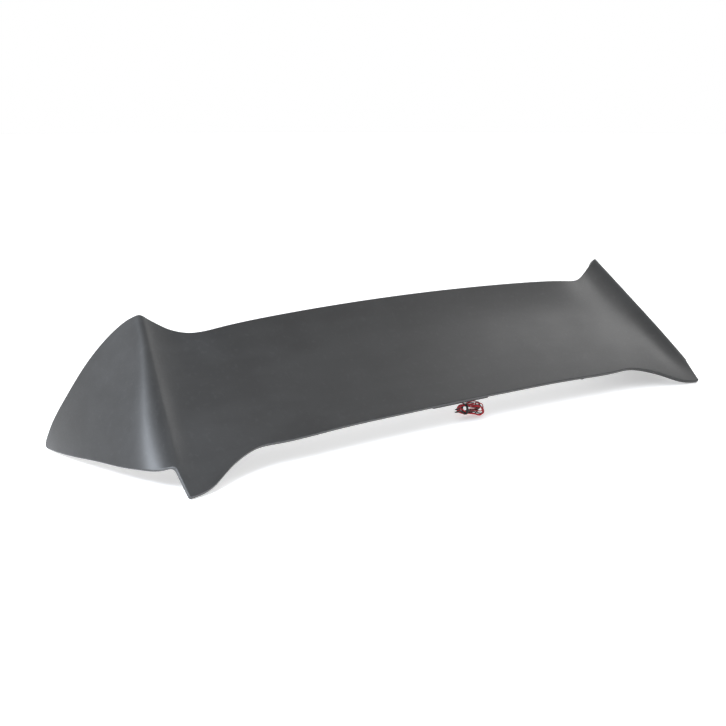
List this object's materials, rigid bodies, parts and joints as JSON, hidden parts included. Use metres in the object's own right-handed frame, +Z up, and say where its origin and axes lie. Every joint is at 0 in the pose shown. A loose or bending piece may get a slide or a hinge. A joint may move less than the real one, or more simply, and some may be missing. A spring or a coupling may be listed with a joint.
{
  "type": "racing rear wing",
  "caption": "Wide one-piece rear wing: a blade rising to an upturned trailing lip, swept side cheeks and short front legs, with a brake lamp sunk in the lip and its leads below.",
  "frame": {"origin": "middle of the object's base: under the centre of the bounding box, on the surface it stands on", "axes": "+X towards the wing's right-hand cheek along its span, +Y towards its trailing edge, +Z up"},
  "size_m": [1.199, 0.3508, 0.2144],
  "materials": {
    "primer": "sanded dark grey primer on glass-fibre laminate",
    "bond_paste": "cured bonding paste",
    "boss_resin": "cast resin, as moulded",
    "seal_foam": "closed-cell foam",
    "insert_brass": "turned and knurled",
    "tape_foam": "adhesive foam tape",
    "pad_foam": "closed-cell foam",
    "rib_laminate": "glass-fibre laminate, unpainted",
    "grommet_rubber": "moulded rubber",
    "lamp_black": "moulded plastic",
    "lens_red": "clear red moulded plastic",
    "led_clear": "clear epoxy",
    "reflector_chrome": "vacuum-metallised",
    "screw_steel": "zinc plated",
    "board_green": "solder mask over glass-fibre board",
    "lead_red": "flexible insulation",
    "lead_black": "flexible insulation",
    "tie_nylon": "moulded nylon",
    "terminal_sleeve": "shrunk sleeve over a crimped terminal"
  },
  "bodies": {
    "root": {"upper_skin": "primer", "lower_skin": "primer", "bond_strip": "bond_paste", "mount_boss_left": "boss_resin", "mount_boss_right": "boss_resin", "boss_seal_left": "seal_foam", "boss_seal_right": "seal_foam", "insert_left": "insert_brass", "insert_right": "insert_brass", "leg_tape_left": "tape_foam", "leg_tape_right": "tape_foam", "cheek_tape_left": "tape_foam", "cheek_tape_right": "tape_foam", "centre_pad": "pad_foam", "support_ribs": "rib_laminate", "lead_grommet": "grommet_rubber", "lamp_housing": "lamp_black", "lamp_lens": "lens_red", "lamp_gasket": "seal_foam", "lamp_leds": "led_clear", "lamp_reflector": "reflector_chrome", "lamp_screws": "screw_steel", "lamp_board": "board_green", "inner_lead_red": "lead_red", "inner_lead_black": "lead_black", "drop_red": "lead_red", "drop_black": "lead_black", "lead_hank": "lead_black", "hank_tie": "tie_nylon", "terminal_red": "terminal_sleeve", "terminal_black": "terminal_sleeve"}
  },
  "joints": []
}
